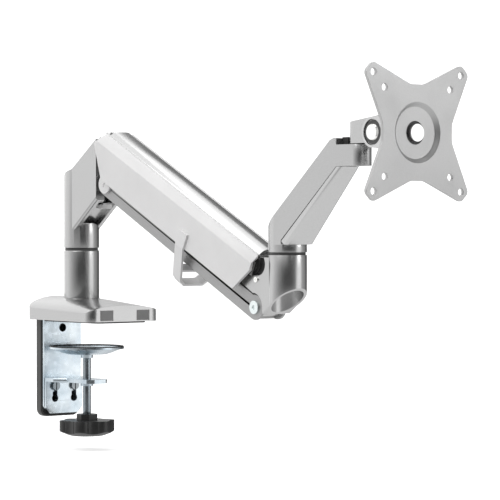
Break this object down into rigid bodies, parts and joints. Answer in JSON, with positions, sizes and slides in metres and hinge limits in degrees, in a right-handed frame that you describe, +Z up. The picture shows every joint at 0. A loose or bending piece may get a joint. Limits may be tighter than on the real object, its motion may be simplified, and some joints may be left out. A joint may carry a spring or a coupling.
{
  "type": "monitor arm",
  "caption": "Desk-clamp monitor arm: swivelling shoulder, parallel-link gas-spring arm, level forearm and a tilting, rotating display plate.",
  "frame": {"origin": "column axis where the base pad meets the desk top", "axes": "+X along the arm towards the display, +Y across the arm, +Z up"},
  "size_m": [0.5457, 0.116, 0.3461],
  "materials": {
    "silver": "satin",
    "silver_light": "satin",
    "grey_cast": "satin",
    "white_plastic": "semi-gloss",
    "zinc": "bright zinc plated",
    "steel": "turned",
    "bright": "polished",
    "black_plastic": "matte",
    "dark_grey_plastic": "matte",
    "grey_inset": "matte",
    "rubber": "matte",
    "plate_paint": "satin"
  },
  "bodies": {
    "base": {"base_plate": "silver", "front_pad_near": "grey_inset", "front_pad_far": "grey_inset", "desk_pad": "rubber", "column": "silver", "column_spindle": "steel", "base_swivel_ring": "dark_grey_plastic", "clamp_plate": "zinc", "bracket_screw_near": "steel", "bracket_screw_far": "steel", "back_cover": "dark_grey_plastic", "cover_gasket": "rubber", "lower_bracket": "zinc", "hook_screw_near": "zinc", "hook_screw_far": "zinc", "hook_nut_near": "zinc", "hook_nut_far": "zinc"},
    "clamp_disc": {"pressure_disc": "zinc", "pressure_pad": "rubber"},
    "clamp_drive": {"clamp_screw": "zinc", "clamp_knob": "black_plastic"},
    "shoulder": {"shoulder_casting": "silver", "shoulder_bushing": "dark_grey_plastic", "shoulder_bar": "white_plastic"},
    "upper_arm": {"upper_cover_near": "white_plastic", "upper_cover_far": "white_plastic", "top_shell": "silver_light", "shell_trim_near": "white_plastic", "shell_trim_far": "white_plastic", "cable_clip": "white_plastic", "upper_frame": "grey_cast", "upper_pin_shoulder": "steel", "upper_pin_elbow": "steel", "gas_cylinder": "black_plastic"},
    "spring_rod": {"gas_rod": "steel"},
    "lower_arm": {"lower_link": "grey_cast", "lower_pin_shoulder": "steel", "shoulder_cap_near": "white_plastic", "shoulder_cap_far": "white_plastic", "link_bolt": "bright"},
    "elbow": {"elbow_casting": "silver", "elbow_spindle": "steel", "pivot_washer_near": "black_plastic", "pivot_washer_far": "black_plastic", "elbow_set_screw": "bright", "elbow_swivel_ring": "dark_grey_plastic"},
    "forearm": {"forearm_casting": "silver", "forearm_cover": "silver_light", "forearm_bushing": "dark_grey_plastic", "swivel_bumper": "rubber"},
    "head": {"head_block": "silver", "head_spindle": "steel", "head_ring": "dark_grey_plastic"},
    "tilt_head": {"tilt_bracket": "silver_light", "tilt_bolt": "bright", "tilt_washer": "dark_grey_plastic"},
    "display_plate": {"vesa_plate": "plate_paint", "rotation_ring": "dark_grey_plastic", "rotation_hub": "black_plastic", "rotation_bolt": "bright"}
  },
  "joints": [
    {"name": "clamp_travel", "type": "slide", "parent": "base", "child": "clamp_disc", "axis": [0, 0, 1], "range_m": [-0.014, 0.017]},
    {"name": "clamp_turn", "type": "hinge", "parent": "clamp_disc", "child": "clamp_drive", "pos_m": [0.0092, 0, -0.07], "axis": [0, 0, 1], "range_deg": [-4032, 4896]},
    {"name": "base_swivel", "type": "hinge", "parent": "base", "child": "shoulder", "pos_m": [0, 0, 0.072], "axis": [0, 0, 1], "range_deg": [-180, 180]},
    {"name": "lift", "type": "hinge", "parent": "shoulder", "child": "upper_arm", "pos_m": [0.062, 0, 0.1753], "axis": [0, -1, 0], "range_deg": [-1.5, 64]},
    {"name": "lower_link_pivot", "type": "hinge", "parent": "shoulder", "child": "lower_arm", "pos_m": [0.062, 0, 0.136], "axis": [0, -1, 0], "range_deg": [-1.6, 64.1]},
    {"name": "elbow_level", "type": "hinge", "parent": "upper_arm", "child": "elbow", "pos_m": [0.29419, 0, 0.06055], "axis": [0, -1, 0], "range_deg": [-64.1, 1.6]},
    {"name": "spring_travel", "type": "slide", "parent": "upper_arm", "child": "spring_rod", "axis": [-0.8965, 0, 0.4431], "range_m": [-0.0005, 0.0136]},
    {"name": "elbow_swivel", "type": "hinge", "parent": "elbow", "child": "forearm", "pos_m": [0.3237, 0, 0.07], "axis": [0, 0, 1], "range_deg": [-100, 100]},
    {"name": "head_swivel", "type": "hinge", "parent": "forearm", "child": "head", "pos_m": [0.4236, 0, 0.1665], "axis": [0, 0, 1], "range_deg": [-90, 90]},
    {"name": "tilt", "type": "hinge", "parent": "head", "child": "tilt_head", "pos_m": [0.4561, 0, 0.1756], "axis": [0, -1, 0], "range_deg": [-30, 60]},
    {"name": "plate_rotation", "type": "hinge", "parent": "tilt_head", "child": "display_plate", "pos_m": [0.49, 0, 0.1742], "axis": [1, 0, 0], "range_deg": [-180, 180]}
  ],
  "couplings": [
    {"joint": "clamp_travel", "follows": "clamp_turn", "m_per_rad": 0.00019894},
    {"joint": "lower_link_pivot", "follows": "lift", "ratio": 1},
    {"joint": "elbow_level", "follows": "lift", "ratio": -1},
    {"joint": "spring_travel", "follows": "lift", "m_per_rad": 0.012}
  ]
}
